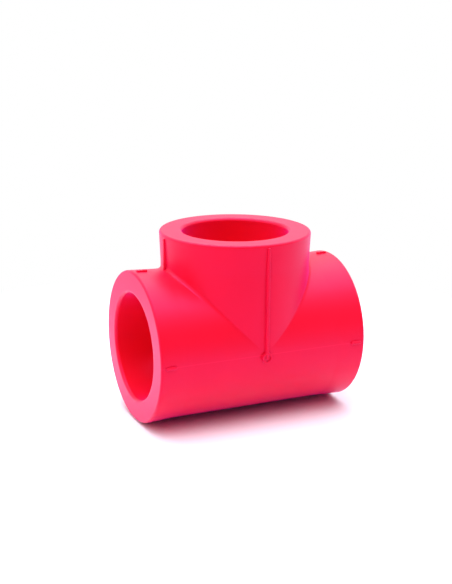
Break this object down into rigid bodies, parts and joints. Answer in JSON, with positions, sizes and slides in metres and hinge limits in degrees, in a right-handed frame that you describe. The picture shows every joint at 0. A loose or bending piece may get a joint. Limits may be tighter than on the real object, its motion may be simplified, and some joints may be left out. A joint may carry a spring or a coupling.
{
  "type": "socket weld tee",
  "caption": "Moulded plastic equal tee that joins pipes at right angles, each pushed warm into a plain socket against a stop.",
  "frame": {"origin": "the point where the axis of the branch meets the axis of the run", "axes": "+X along the run, +Z out of the branch, -Y towards the side with the gate mark"},
  "size_m": [0.081, 0.057, 0.0689],
  "materials": {
    "red_polypropylene": "moulded polypropylene, satin, bright red"
  },
  "bodies": {
    "root": {"tee_body": "red_polypropylene"}
  },
  "joints": []
}
